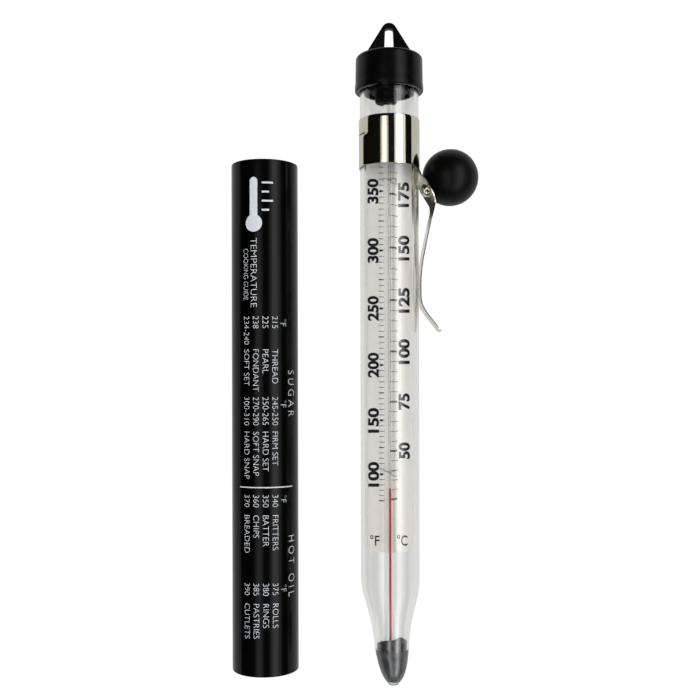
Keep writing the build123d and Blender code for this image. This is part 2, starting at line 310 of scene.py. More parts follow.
def bright_steel(name, tone, rough, streak=(1, 0.05, 1), bump=0.15):
    """Polished spring steel: fine rolling lines, faint stains, and ripples from forming."""
    mat, nodes, links, shader = new_material(name)
    shader.inputs["Metallic"].default_value = 1.0
    stains = noise_at(nodes, links, 180, 5)
    tint = ramp(nodes, links, stains.outputs["Fac"], 0.3, 0.7, [[c * 0.93 for c in tone], tone])
    links.new(tint, shader.inputs["Base Color"])
    lines = noise_at(nodes, links, 3000, 4, streak)
    gloss = ramp(nodes, links, lines.outputs["Fac"], 0.3, 0.7, [(rough * 0.7,) * 3, (rough * 1.5,) * 3])
    links.new(gloss, shader.inputs["Roughness"])
    ripples = noise_at(nodes, links, 220, 2)
    bump_from(nodes, links, ripples.outputs["Fac"], bump, 0.05 * MM, shader)
    return mat


def card_stock(name):
    """Coated card, warm grey-white, with faint fibre mottling."""
    mat, nodes, links, shader = new_material(name)
    fibre = noise_at(nodes, links, 900, 6, (1, 0.5, 1))
    tint = ramp(nodes, links, fibre.outputs["Fac"], 0.3, 0.7, [(0.79, 0.775, 0.74), (0.83, 0.815, 0.78)])
    links.new(tint, shader.inputs["Base Color"])
    shader.inputs["Roughness"].default_value = 0.55
    bump_from(nodes, links, fibre.outputs["Fac"], 0.1, 0.01 * MM, shader)
    return mat


def printing_ink(name, tone, rough=0.5):
    """Screen-printed ink with slightly uneven cover."""
    mat, nodes, links, shader = new_material(name)
    cover = noise_at(nodes, links, 2600, 4)
    tint = ramp(nodes, links, cover.outputs["Fac"], 0.3, 0.8, [tone, [c * 0.72 + 0.003 for c in tone]])
    links.new(tint, shader.inputs["Base Color"])
    shader.inputs["Specular IOR Level"].default_value = 0.2
    shader.inputs["Roughness"].default_value = rough
    return mat


def red_spirit(name):
    """Dyed spirit, drawn as an opaque red."""
    mat, nodes, links, shader = new_material(name)
    depth = noise_at(nodes, links, 500, 2, (1, 0.1, 1))
    tint = ramp(nodes, links, depth.outputs["Fac"], 0.3, 0.7, [(0.60, 0.045, 0.055), (0.74, 0.07, 0.08)])
    links.new(tint, shader.inputs["Base Color"])
    shader.inputs["Roughness"].default_value = 0.2
    return mat


def cast_filling(name):
    """Dull grey metal run into the tip: dark, cloudy, with crystal-like facets."""
    mat, nodes, links, shader = new_material(name)
    shader.inputs["Metallic"].default_value = 1.0
    clouds = noise_at(nodes, links, 330, 7)
    tint = ramp(nodes, links, clouds.outputs["Fac"], 0.3, 0.72, [(0.1, 0.108, 0.115), (0.25, 0.265, 0.27)])
    links.new(tint, shader.inputs["Base Color"])
    shader.inputs["Roughness"].default_value = 0.46
    facets = noise_at(nodes, links, 700, 3, kind="ShaderNodeTexVoronoi")
    bump_from(nodes, links, facets.outputs["Distance"], 0.35, 0.15 * MM, shader)
    return mat


GLASS = glass("tube_glass", (0.975, 0.975, 0.962))
STEM_GLASS = glass("stem_glass", (0.965, 0.965, 0.955), 1.5)
CAP_BLACK = black_plastic("cap_black", (0.0005, 0.0006, 0.0005), 0.24, 0.3, 1800, 0.06)
STOPPER_BLACK = black_plastic("stopper_black", (0.0008, 0.0008, 0.0008), 0.45, 0.6, 1500, 0.15)
BALL_BLACK = black_plastic("knob_black", (0.0005, 0.0006, 0.0005), 0.34, 0.42, 1600, 0.08)
SLEEVE_BLACK = black_plastic("sleeve_black", (0.0003, 0.0004, 0.0003), 0.15, 0.2, 2200, 0.03)
CLIP_STEEL = bright_steel("clip_steel", (0.64, 0.60, 0.49), 0.07)
SCREW_STEEL = bright_steel("screw_steel", (0.68, 0.66, 0.58), 0.12, (1, 1, 1), 0.05)
TIE_STEEL = bright_steel("tie_steel", (0.36, 0.345, 0.32), 0.3, (1, 1, 1), 0.05)
INSERT_BRASS = bright_steel("insert_brass", (0.75, 0.56, 0.27), 0.25, (1, 1, 1), 0.05)
CARD = card_stock("card_stock")
SCALE_INK = printing_ink("scale_ink", (0.004, 0.004, 0.005))
GUIDE_INK = printing_ink("guide_ink", (0.34, 0.355, 0.38), 0.45)
SPIRIT = red_spirit("red_spirit")
FILLING = cast_filling("tip_filling_metal")


def dress(obj, material, body=None, replaces=()):
    """Give a piece its material, its body and the CAD nodes that it stands for."""
    obj.data.materials.clear()
    obj.data.materials.append(material)
    if replaces:
        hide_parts(*replaces)
    if body:
        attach(obj, body)
    return obj


# ---------------- glass envelope and filling
WALL = 1.2 * MM
# The drawn tip: outside radius and sideways drift, in mm, against y in mm
TIP_RADIUS = [
    (-68.0, 9.0), (-69.5, 8.99), (-71.5, 8.82), (-75.0, 8.08), (-79.0, 6.92), (-83.0, 6.02),
    (-87.0, 5.47), (-91.0, 5.12), (-95.0, 4.46), (-98.4, 3.42), (-100.3, 2.2), (-101.2, 1.15),
]
TIP_DRIFT = [
    (-69.0, 0.0), (-75.0, 0.2), (-83.0, 0.35), (-87.0, 0.4), (-91.0, 0.5), (-95.0, 0.75), (-98.4, 0.9),
]
TIP_WALL = 0.55 * MM
NECK_Y = -67.0 * MM
TIP_END_Y = -101.0 * MM
# Over this stretch the wall thins from its full thickness to the tip's
THIN_LOW_Y, THIN_SPAN = -78 * MM, 11 * MM
MOUTH_ROUND = 0.3 * MM
FILLING_RING_Y = -89.6 * MM
FILLING_LOW_Y = -99.9 * MM


def smooth_stations(stations, y, width=1.2):
    """Stations read at y in metres and softened over a few samples, in metres."""
    y_mm = y / MM
    total = 0.0
    for k in range(-4, 5):
        total += curve_through(stations, y_mm + k * width / 4)
    return total / 9 * MM


def tip_radius(y):
    return smooth_stations(TIP_RADIUS, y)


def tip_drift(y):
    return smooth_stations(TIP_DRIFT, y)


def tip_rows(low, high, count):
    """The drawn tip's outside as (y, r) from high to low."""
    heights = [high + (low - high) * k / count for k in range(count + 1)]
    return [(y, tip_radius(y)) for y in heights]


def glass_envelope():
    """The outer tube, closed at its foot by a nib, with its hollow ending where the filling does."""
    mouth = GLASS_HIGH.y
    outer = [(mouth - MOUTH_ROUND, GLASS_R), (0.0, GLASS_R)] + tip_rows(TIP_END_Y, NECK_Y, 60)
    nib = [(-101.35 * MM, 0.75 * MM), (-101.5 * MM, 0.4 * MM), (-101.55 * MM, 0.0)]
    end = FILLING_LOW_Y
    floor_r = tip_radius(end) - TIP_WALL
    inner = [(end - 0.5 * MM, 0.0), (end - 0.44 * MM, floor_r * 0.5), (end - 0.22 * MM, floor_r * 0.86)]
    for y, r in reversed(tip_rows(end, NECK_Y, 50)):
        wall = TIP_WALL + (WALL - TIP_WALL) * smooth_step((y - THIN_LOW_Y) / THIN_SPAN)
        inner.append((y, r - wall))
    inner += [(0.0, GLASS_R - WALL), (mouth - MOUTH_ROUND, GLASS_R - WALL)]
    lip = [(mouth, GLASS_R - WALL + MOUTH_ROUND), (mouth, GLASS_R - MOUTH_ROUND)]
    tube = lathe("glass_envelope", outer + nib + inner + lip, AXIS, 160, tip_drift)
    tube.visible_shadow = False
    return dress(tube, GLASS, "thermometer", ["glass_tube"])


def filling_top(angle):
    """Height of the filling's torn upper edge: a low lobe, a high one, and a tilt of the whole rim."""
    across = math.cos(angle)
    height = -87.6 - 0.25 * smooth_step(-across * 2.2)
    height += 0.85 * math.exp(-(((across - 0.62) / 0.36) ** 2))
    height -= 1.2 * across**14
    height += 1.2 * math.sin(angle)
    height += 0.1 * math.sin(7 * angle)
    return height * MM


def filling_radius(angle, y):
    """In contact with the glass below the ring; shrunk away from it and crumpled above."""
    r = tip_radius(y) - TIP_WALL + 0.015 * MM
    above = smooth_step((y - FILLING_RING_Y) / (0.3 * MM))
    crumple = noise.noise(Vector((math.cos(angle) * 2.2, math.sin(angle) * 2.2, y / MM * 0.55)))
    r -= above * (0.06 + 0.10 * (1 + crumple)) * MM
    below_ring = (y - FILLING_RING_Y + 0.25 * MM) / (0.12 * MM)
    return r - 0.1 * MM * math.exp(-(below_ring**2))


def tip_metal():
    """The grey metal in the tip: smooth where it lies on the glass, shrunk and torn at its top."""
    steps, rows, verts = 96, 90, []
    low, lip, crown_y = FILLING_LOW_Y, 0.45 * MM, -88.1 * MM
    for i in range(rows + 1):
        for k in range(steps):
            a = TAU * k / steps
            y = low + (filling_top(a) - low) * i / rows
            from_top = (filling_top(a) - y) / lip
            r = filling_radius(a, y)
            if from_top < 1:
                r -= lip * (1 - math.sqrt(max(1 - (1 - from_top) ** 2, 0)))
            x = AXIS.x + tip_drift(y) + r * math.cos(a)
            verts.append((x, y, AXIS.z + r * math.sin(a)))
    faces = skin(rows + 1, steps)
    for y in (low - lip, crown_y):
        verts.append((AXIS.x + tip_drift(low), y, AXIS.z))
    for k in range(steps):
        n = (k + 1) % steps
        faces.append((n, k, len(verts) - 2))
        faces.append((rows * steps + k, rows * steps + n, len(verts) - 1))
    metal = mesh_object("tip_metal", verts, faces, 70)
    return dress(metal, FILLING, "thermometer", ["tip_filling"])


# ---------------- cap and stopper
CAP_TOP_Y = CAP_LOW.y + 10.9 * MM
EAR_T = 2.4 * MM
EAR_BASE = 16.2 * MM
EAR_R = 2.35 * MM
SLOT_FOOT = 1.5 * MM
SLOT_TOP = 1.2 * MM
SLOT_LOW_Y = CAP_TOP_Y + 0.9 * MM
SLOT_HIGH_Y = CAP_HIGH.y - 1.7 * MM


def cap_shell():
    """The cap's body, with the glass's seat inside it."""
    rim, top = CAP_LOW.y, CAP_TOP_Y
    rim_r, top_r = (CAP_HIGH.x - CAP_LOW.x) / 2, 10.2 * MM
    seat = GLASS_HIGH.y
    corners = [
        (rim, rim_r, 0.45 * MM),
        (rim + 1.5 * MM, rim_r, 0.7 * MM),
        (rim + 3.0 * MM, rim_r - 0.14 * MM, 0.7 * MM),
        (top, top_r, 1.15 * MM),
        (top, 0.0, 0.0),
        (seat, 0.0, 0.0),
        (seat, GLASS_R, 0.0),
        (rim, GLASS_R + 0.02 * MM, 0.2 * MM),
    ]
    shell = lathe("cap_shell", rounded(corners, 8), AXIS, 160)
    return dress(shell, CAP_BLACK, "thermometer", ["cap"])


def ear_outline(steps=16):
    """The ear's edge: two straight flanks tangent to the round top."""
    base_y = CAP_TOP_Y - 0.5 * MM
    centre = Vector((0, CAP_HIGH.y - EAR_R))
    corner = Vector((EAR_BASE / 2, base_y))
    away = corner - centre
    reach = math.sqrt(away.length_squared - EAR_R**2)
    angle = math.atan2(away.y, away.x) + math.atan2(reach, EAR_R)
    points = [(corner.x, corner.y)]
    for k in range(steps + 1):
        a = angle + (math.pi - 2 * angle) * k / steps
        points.append((centre.x + EAR_R * math.cos(a), centre.y + EAR_R * math.sin(a)))
    points.append((-corner.x, corner.y))
    return points


def slot_outline(steps=8):
    """The slot: a low arched top over sides that spread a little towards its square foot."""
    rise = SLOT_TOP * 0.6
    points = [(-SLOT_FOOT, SLOT_LOW_Y), (SLOT_FOOT, SLOT_LOW_Y)]
    for k in range(steps + 1):
        a = math.pi * k / steps
        points.append((SLOT_TOP * math.cos(a), SLOT_HIGH_Y - rise + rise * math.sin(a)))
    return points


def round_edges(obj, width, segments, angle_deg=30):
    """Round the edges where faces meet at more than the angle."""
    rounding = obj.modifiers.new("rounding", "BEVEL")
    rounding.width = width
    rounding.segments = segments
    rounding.limit_method = "ANGLE"
    rounding.angle_limit = math.radians(angle_deg)


def cut_slot(obj, cutter):
    """Take the cutter's shape out of the object."""
    cut = obj.modifiers.new("slot", "BOOLEAN")
    cut.object = cutter
    cut.operation = "DIFFERENCE"
    cut.solver = "EXACT"


def prism(name, outline, half_thickness):
    """A flat plate in the XY plane from an outline."""
    bm = bmesh.new()
    face = bm.faces.new([bm.verts.new((x, y, -half_thickness)) for x, y in outline])
    lifted = bmesh.ops.extrude_face_region(bm, geom=[face])
    for vert in lifted["geom"]:
        if isinstance(vert, bmesh.types.BMVert):
            vert.co.z = half_thickness
    bmesh.ops.recalc_face_normals(bm, faces=bm.faces)
    mesh = bpy.data.meshes.new(name)
    bm.to_mesh(mesh)
    bm.free()
    return new_object(name, mesh)


def apply_modifiers(obj):
    """Replace an object's mesh with its finished one."""
    graph = bpy.context.evaluated_depsgraph_get()
    mesh = bpy.data.meshes.new_from_object(obj.evaluated_get(graph))
    obj.modifiers.clear()
    obj.data = mesh
    return obj


def hanging_ear():
    """The flat ear on the cap, with its slot."""
    plate = prism("cap_ear", ear_outline(), EAR_T / 2)
    hole = prism("ear_hole", slot_outline(), EAR_T)
    cut_slot(plate, hole)
    round_edges(plate, 0.35 * MM, 4, 50)
    apply_modifiers(plate)
    bpy.data.objects.remove(hole)
    plate.data.transform(Matrix.Translation((AXIS.x, 0, AXIS.z)))
    shade(plate.data, 35)
    return dress(plate, CAP_BLACK, "thermometer")


def stopper():
    """The stopper in the mouth of the glass, with its flange."""
    neck_r, flange_r = 6.2 * MM, GLASS_R - WALL - 0.02 * MM
    step = 83.0 * MM
    corners = [
        (PLUG_LOW.y, BUSH_HIGH.x - AXIS.x, 0.0),
        (PLUG_LOW.y, neck_r, 0.7 * MM),
        (step, neck_r, 0.4 * MM),
        (step, flange_r, 0.3 * MM),
        (PLUG_HIGH.y, flange_r, 0.0),
        (PLUG_HIGH.y, BUSH_HIGH.x - AXIS.x, 0.0),
    ]
    plug = lathe("stopper", rounded(corners), AXIS, 96)
    return dress(plug, STOPPER_BLACK, "thermometer", ["cap_plug"])


# Wider than the part and set 0.9 mm to one side, so the black lump fills the dark zone under the cap
BUSH_R = 3.4 * MM
BUSH_SHIFT = -0.9 * MM


def bush():
    """The rubber lump that holds the stem, drawn wider than the part and set off centre so that it fills the
    dark zone under the cap.
    """
    corners = [
        (BUSH_LOW.y, STEM_R * 0.4, 0.0),
        (BUSH_LOW.y, BUSH_R, 0.7 * MM),
        (BUSH_HIGH.y, BUSH_R, 0.0),
        (BUSH_HIGH.y, STEM_R * 0.4, 0.0),
    ]
    ring = lathe("stem_holder", rounded(corners), AXIS, 64, lambda y: BUSH_SHIFT)
    return dress(ring, STOPPER_BLACK, "thermometer", ["stem_bush"])


# ---------------- stem and spirit
BORE_R = 0.24 * MM
THREAD_R = BORE_R + 0.003 * MM


def stem():
    """The capillary: a clear rod with a fine bore, fire-polished at its top."""
    corners = [
        (STEM_LOW.y, BORE_R, 0.0),
        (STEM_LOW.y, STEM_R, 0.3 * MM),
        (STEM_HIGH.y, STEM_R, 0.4 * MM),
        (STEM_HIGH.y, BORE_R, 0.0),
    ]
    rod = lathe("stem_rod", rounded(corners), AXIS, 64)
    rod.visible_shadow = False
    return dress(rod, STEM_GLASS, "thermometer", ["capillary_stem"])


def spirit_thread():
    """The red thread, stretched between the bulb and the moving level."""
    rows = 80
    low, high = COLUMN_LOW.y, LEVEL_HIGH.y
    outline = [(low, 0.0)]
    for k in range(rows + 1):
        outline.append((low + (high - 0.12 * MM - low) * k / rows, THREAD_R))
    outline += [(high, THREAD_R * 0.5), (high, 0.0)]
    thread = lathe("spirit_thread", outline, AXIS, 24)
    dress(thread, SPIRIT, None, ["spirit_column", "column_top"])
    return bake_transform(thread)


# ---------------- card and its print
# Where a temperature in Celsius lies on the card, y in mm: the liquid's spread grows a little with heat
SCALE_Y0, SCALE_SLOPE, SCALE_CURVE = -58.77, 0.571, 0.00027
CARD_FACE = CARD_HIGH.z
INK_LIFT = 0.02 * MM
INK_THICK = 0.012 * MM


def scale_y(celsius):
    """The height on the card of a temperature."""
    return (SCALE_Y0 + SCALE_SLOPE * celsius + SCALE_CURVE * celsius**2) * MM


def fahrenheit_y(degrees):
    return scale_y((degrees - 32) / 1.8)


def card_plate():
    """The card behind the stem, with round corners."""
    width = CARD_HIGH.x - CARD_LOW.x
    middle = Vector(((CARD_HIGH.x + CARD_LOW.x) / 2, 0, (CARD_HIGH.z + CARD_LOW.z) / 2))
    corner, steps = 1.7 * MM, 8
    half = width / 2
    points = []
    centres = [
        (half - corner, CARD_HIGH.y - corner, 0),
        (-half + corner, CARD_HIGH.y - corner, 1),
        (-half + corner, CARD_LOW.y + corner, 2),
        (half - corner, CARD_LOW.y + corner, 3),
    ]
    for x, y, quarter in centres:
        for k in range(steps + 1):
            a = (quarter + k / steps) * math.pi / 2
            points.append((x + corner * math.cos(a), y + corner * math.sin(a)))
    plate = prism("card_plate", points, (CARD_HIGH.z - CARD_LOW.z) / 2)
    round_edges(plate, 0.06 * MM, 3)
    apply_modifiers(plate)
    plate.data.transform(Matrix.Translation((middle.x, 0, middle.z)))
    return dress(plate, CARD, "thermometer", ["scale_card"])


BAR_FACES = [(0, 3, 2, 1), (4, 5, 6, 7), (0, 1, 5, 4), (1, 2, 6, 5), (2, 3, 7, 6), (3, 0, 4, 7)]
# Ticks, in mm: each kind's step in degrees, its two ends from the stem's axis, and its weight
FAHRENHEIT_TICKS = [(50, -3.05, -1.95, 0.62), (25, -3.35, -1.75, 0.34), (5, -3.3, -0.45, 0.19)]
CELSIUS_TICKS = [(25, 0.08, 2.3, 0.62), (5, 0.22, 2.55, 0.2)]


def scale_ticks(name, first, last, kinds, to_y):
    """A scale's ticks, thin raised bars of ink. The first kind whose step divides the degrees is used."""
    low, high = CARD_FACE + INK_LIFT, CARD_FACE + INK_LIFT + INK_THICK
    verts, faces = [], []
    for degrees in range(first, last + 1, 5):
        y = to_y(degrees)
        x0, x1, weight = next(kind[1:] for kind in kinds if degrees % kind[0] == 0)
        base = len(verts)
        for z in (low, high):
            for px, py in ((x0, -1), (x1, -1), (x1, 1), (x0, 1)):
                verts.append((AXIS.x + px * MM, y + py * weight * MM / 2, z))
        faces += [tuple(base + i for i in quad) for quad in BAR_FACES]
    return dress(mesh_object(name, verts, faces, 30), SCALE_INK, "thermometer")


LETTER_DEPTH = 0.02


def lettering(words, height, width=None, weight=0.0):
    """Words as a flat mesh centred on the origin, with the letters height tall and width long in all."""
    curve = bpy.data.curves.new("words", "FONT")
    curve.body = words
    curve.offset = weight
    curve.extrude = LETTER_DEPTH / 2
    curve.resolution_u = 6
    obj = new_object("words", curve)
    bpy.context.view_layer.update()
    graph = bpy.context.evaluated_depsgraph_get()
    mesh = bpy.data.meshes.new_from_object(obj.evaluated_get(graph))
    bpy.data.objects.remove(obj)
    xs = [v.co.x for v in mesh.vertices]
    ys = [v.co.y for v in mesh.vertices]
    tall = max(ys) - min(ys)
    long = max(xs) - min(xs)
    grow_y = height / tall
    grow_x = (width / long) if width else grow_y
    move = Matrix.Translation((-(max(xs) + min(xs)) / 2, -(max(ys) + min(ys)) / 2, 0))
    size = Matrix.Diagonal((grow_x, grow_y, INK_THICK / LETTER_DEPTH, 1))
    mesh.transform(size @ move)
    return mesh


def join_meshes(name, meshes):
    """Several meshes as one."""
    bm = bmesh.new()
    for mesh in meshes:
        bm.from_mesh(mesh)
    joined = bpy.data.meshes.new(name)
    bm.to_mesh(joined)
    bm.free()
    return joined


def card_words(name, entries):
    """Entries are (words, x, y, height, length, weight, turned); all lie on the card's face."""
    meshes = []
    for words, x, y, height, length, weight, turned in entries:
        mesh = lettering(words, height, length, weight)
        if turned:
            mesh.transform(Matrix.Rotation(math.pi / 2, 4, "Z"))
        mesh.transform(Matrix.Translation((AXIS.x + x, y, CARD_FACE + INK_LIFT + INK_THICK / 2)))
        meshes.append(mesh)
    return dress(new_object(name, join_meshes(name, meshes)), SCALE_INK, "thermometer")


def scale_figures():
    """The figures beside each scale, turned to read upwards, and the two units at the foot."""
    tall, digit, heavy = 3.65 * MM, 7.7 * MM / 3, 0.04
    scales = [
        ("fahrenheit_figures", -5.1 * MM, range(100, 401, 50), fahrenheit_y),
        ("celsius_figures", 4.65 * MM, range(50, 201, 25), scale_y),
    ]
    for name, x, marked, to_y in scales:
        entries = [(str(t), x, to_y(t), tall, digit * len(str(t)), heavy, True) for t in marked]
        card_words(name, entries)
    foot = CARD_LOW.y + 3.6 * MM
    units = [
        ("°F", -4.75 * MM, foot, 3.3 * MM, 3.0 * MM, 0.012, False),
        ("°C", 3.9 * MM, foot, 3.4 * MM, 3.3 * MM, 0.012, False),
    ]
    card_words("unit_letters", units)


WIRE_R, TAIL_R, TWIST_R = 0.16 * MM, 0.12 * MM, 0.14 * MM


def wire_tie(name, node, phase):
    """Soft iron wire bound once round the stem and card, its ends twisted and pressed flat in front."""
    low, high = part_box(node)
    y = (low.y + high.y) / 2
    r = STEM_R + 0.27 * MM
    back = CARD_LOW.z - AXIS.z - 0.45 * MM
    loop = [Vector((-r, 0.1 * MM, back)), Vector((-r, 0.0, back / 2)), Vector((-r, 0.0, 0))]
    for k in range(1, 8):
        a = math.pi - math.pi * k / 8
        wobble = 0.25 * MM * math.sin(3 * a)
        loop.append(Vector((r * math.cos(a), wobble, r * math.sin(a))))
    loop += [Vector((r, 0.0, 0)), Vector((r, 0.0, back / 2)), Vector((r, -0.1 * MM, back))]
    loop = [p + Vector((AXIS.x, y, AXIS.z)) for p in loop]
    hoop = tube_along(name, catmull(loop, 6), WIRE_R, 10)
    dress(hoop, TIE_STEEL, "thermometer", [node])
    twist, points = [], 32
    turns, length = 2.5, 2.6 * MM
    for k in range(points + 1):
        t = k / points
        a = TAU * turns * t
        sway = 0.35 * MM * math.sin(4 * t + phase)
        twist.append(Vector((
            AXIS.x - 0.6 * MM + length * t,
            y - 0.5 * MM - 0.9 * MM * t + sway + TWIST_R * math.cos(a),
            AXIS.z + r + 0.05 * MM + TWIST_R * math.sin(a) - 1.0 * MM * t * t,
        )))
    tail = tube_along(name + "_tail", twist, TAIL_R, 8)
    dress(tail, TIE_STEEL, "thermometer")


# ---------------- clip
SHEET = 0.3 * MM
COLLAR_R = (COLLAR_HIGH.x - COLLAR_LOW.x) / 2
SEAM_STEP_Y = 66.6 * MM
SEAM_GAP = math.radians(4)
SEAM_UPPER, SEAM_LOWER = math.radians(205), math.radians(151)


def rolled(rho, angle, y):
    """A point round the tube, by its angle from the clip's own outward line."""
    a = angle + ROLL
    return Vector((AXIS.x + rho * math.cos(a), y, AXIS.z + rho * math.sin(a)))


SLIT_HIGH_Y = SEAM_STEP_Y + 0.4 * MM
COLLAR_STEP = math.radians(2)
LOWER_ROWS, UPPER_ROWS = 12, 6


def lifted(angle, y):
    """How far the sheet stands off before its lower seam, where its end was left straight."""
    straight = SEAM_LOWER - SEAM_GAP / 2 - angle
    bend = math.radians(22)
    if not 0 <= straight < bend:
        return 0.0
    free = smooth_step((SEAM_STEP_Y - y) / (0.8 * MM))
    return free * COLLAR_R * (1 / math.cos(bend - straight) - 1)


def collar_heights():
    """Row heights of the collar's grid: the lower band, the slit and the upper band."""
    low, high = COLLAR_LOW.y, COLLAR_HIGH.y
    heights = [low + (SEAM_STEP_Y - low) * i / LOWER_ROWS for i in range(LOWER_ROWS + 1)]
    heights += [SLIT_HIGH_Y + (high - SLIT_HIGH_Y) * i / UPPER_ROWS for i in range(UPPER_ROWS + 1)]
    return heights


def in_sheet(angle, row):
    """Whether a cell of the grid is metal: the seam's lower gap, its slit and its upper gap are not."""
    half = SEAM_GAP / 2
    if row < LOWER_ROWS:
        return not SEAM_LOWER - half < angle < SEAM_LOWER + half
    if row == LOWER_ROWS:
        return not SEAM_LOWER - half < angle < SEAM_UPPER + half
    return not SEAM_UPPER - half < angle < SEAM_UPPER + half


def collar():
    """The bright band round the glass, one sheet whose seam steps from one side of the back to the other."""
    heights = collar_heights()
    rows, columns = len(heights), round(TAU / COLLAR_STEP)
    first = COLLAR_STEP / 2
    verts = []
    for face_r in (COLLAR_R, COLLAR_R - SHEET):
        for k in range(columns):
            a = first + COLLAR_STEP * k
            verts += [rolled(face_r + lifted(a, y), a, y) for y in heights]
    inner = columns * rows
    metal = {
        (k, i)
        for k in range(columns)
        for i in range(rows - 1)
        if in_sheet(first + COLLAR_STEP * (k + 0.5), i)
    }
    faces = []
    for k, i in sorted(metal):
        n, j = (k + 1) % columns, i + 1
        a, b, c, d = k * rows + i, n * rows + i, n * rows + j, k * rows + j
        faces.append((a, d, c, b))
        faces.append((a + inner, b + inner, c + inner, d + inner))
        walls = [((k, i - 1), a, b), ((n, i), b, c), ((k, j), c, d), (((k - 1) % columns, i), d, a)]
        for neighbour, start, end in walls:
            if neighbour not in metal:
                faces.append((start, end, end + inner, start + inner))
    used = sorted({v for face in faces for v in face})
    place = {v: n for n, v in enumerate(used)}
    faces = [tuple(place[v] for v in face) for face in faces]
    band = mesh_object("collar_band", [verts[v] for v in used], faces, 40)
    round_edges(band, 0.06 * MM, 2, 50)
    apply_modifiers(band)
    shade(band.data, 40)
    return dress(band, CLIP_STEEL, "clip", ["clip_collar"])


# The arm's middle line from root to foot, in mm: distance from the tube's axis, y, and half width
ARM_LINE = [
    (9.21, 56.9, 6.6), (9.9, 54.6, 6.55), (10.72, 51.92, 6.5), (11.43, 50.6, 6.5), (12.12, 49.33, 6.45),
    (12.8, 48.08, 6.0), (13.42, 46.3, 4.8), (13.15, 43.7, 3.0), (12.27, 40.1, 2.8), (11.06, 34.5, 2.8),
    (10.05, 29.4, 2.8), (9.42, 24.6, 2.8), (9.3, 20.0, 2.8), (9.55, 15.9, 2.8), (11.2, 12.75, 2.8),
    (13.3, 10.05, 2.8), (14.9, 8.05, 2.8), (15.65, 7.1, 2.8),
]
ROOT_R, ROOT_Y = ARM_LINE[0][:2]
CURL_SPAN = 5.4
ARM_HALF_SHEET = 0.15
FOOT_CORNER = 1.4


def arm_sheet():
    """The sprung arm: curved like the collar at its root, flat below, with a rounded foot."""
    line = catmull([Vector(p) for p in ARM_LINE], 8)
    across = 24
    verts = []
    count = len(line)
    foot = line[-1].y
    for i, p in enumerate(line):
        before, after = line[max(i - 1, 0)], line[min(i + 1, count - 1)]
        ahead = Vector((after.x - before.x, after.y - before.y)).normalized()
        out = Vector((-ahead.y, ahead.x))
        curl = 1 - smooth_step((ROOT_Y - p.y) / CURL_SPAN)
        half = p.z
        from_foot = (p.y - foot) / abs(ahead.y)
        if from_foot < FOOT_CORNER:
            half -= FOOT_CORNER - math.sqrt(FOOT_CORNER**2 - (FOOT_CORNER - from_foot) ** 2)
        for face_side in (1, -1):
            for k in range(across + 1):
                s = (2 * k / across - 1) * face_side
                z = half * s
                sunk = ROOT_R - math.sqrt(ROOT_R**2 - z * z)
                rho = (p.x - sunk * curl + out.x * face_side * ARM_HALF_SHEET) * MM
                y = (p.y + out.y * face_side * ARM_HALF_SHEET) * MM
                aside = z * MM
                verts.append(Vector((
                    AXIS.x + rho * math.cos(ROLL) - aside * math.sin(ROLL),
                    y,
                    AXIS.z + rho * math.sin(ROLL) + aside * math.cos(ROLL),
                )))
    ring = 2 * (across + 1)
    faces = skin(count, ring)
    faces.append(tuple(range(ring)))
    faces.append(tuple((count - 1) * ring + k for k in reversed(range(ring))))
    arm = mesh_object("arm_sheet", verts, faces, 45)
    dress(arm, CLIP_STEEL, None, ["clip_arm"])
    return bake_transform(arm)


SCREW_TILT = math.radians(28.5)
SEAT = 8.3 * MM
SCREW_SEAT = 0.4 * MM
WASHER_T, WASHER_R = 0.5 * MM, 2.2 * MM


def screw_line(along):
    """A point on the screw's line, a distance from the ball's centre towards the arm."""
    level = math.cos(SCREW_TILT)
    out = Vector((level * math.cos(ROLL), math.sin(SCREW_TILT), level * math.sin(ROLL)))
    return BALL - out * along, out


def turned_piece(name, outline, along, steps=64):
    """A solid turned about the screw's line; outline is [(height towards the ball, r)]."""
    piece = lathe(name, outline, Vector((0, 0, 0)), steps)
    place, out = screw_line(along)
    turn = Vector((0, 1, 0)).rotation_difference(out).to_matrix().to_4x4()
    piece.data.transform(Matrix.Translation(place) @ turn)
    return piece


def knob():
    """The ball: a sphere with a flat seat for the arm."""
    outline = []
    flat_angle = math.acos(SEAT / BALL_R)
    steps = 72
    for k in range(steps + 1):
        a = (math.pi - flat_angle) * k / steps
        outline.append((BALL_R * math.cos(a), BALL_R * math.sin(a)))
    outline += [(-SEAT, outline[-1][1] - 0.25 * MM), (-SEAT, 0.0)]
    ball = turned_piece("knob_ball", outline, 0.0, 96)
    return dress(ball, BALL_BLACK, "sprung_arm", ["ball_knob"])


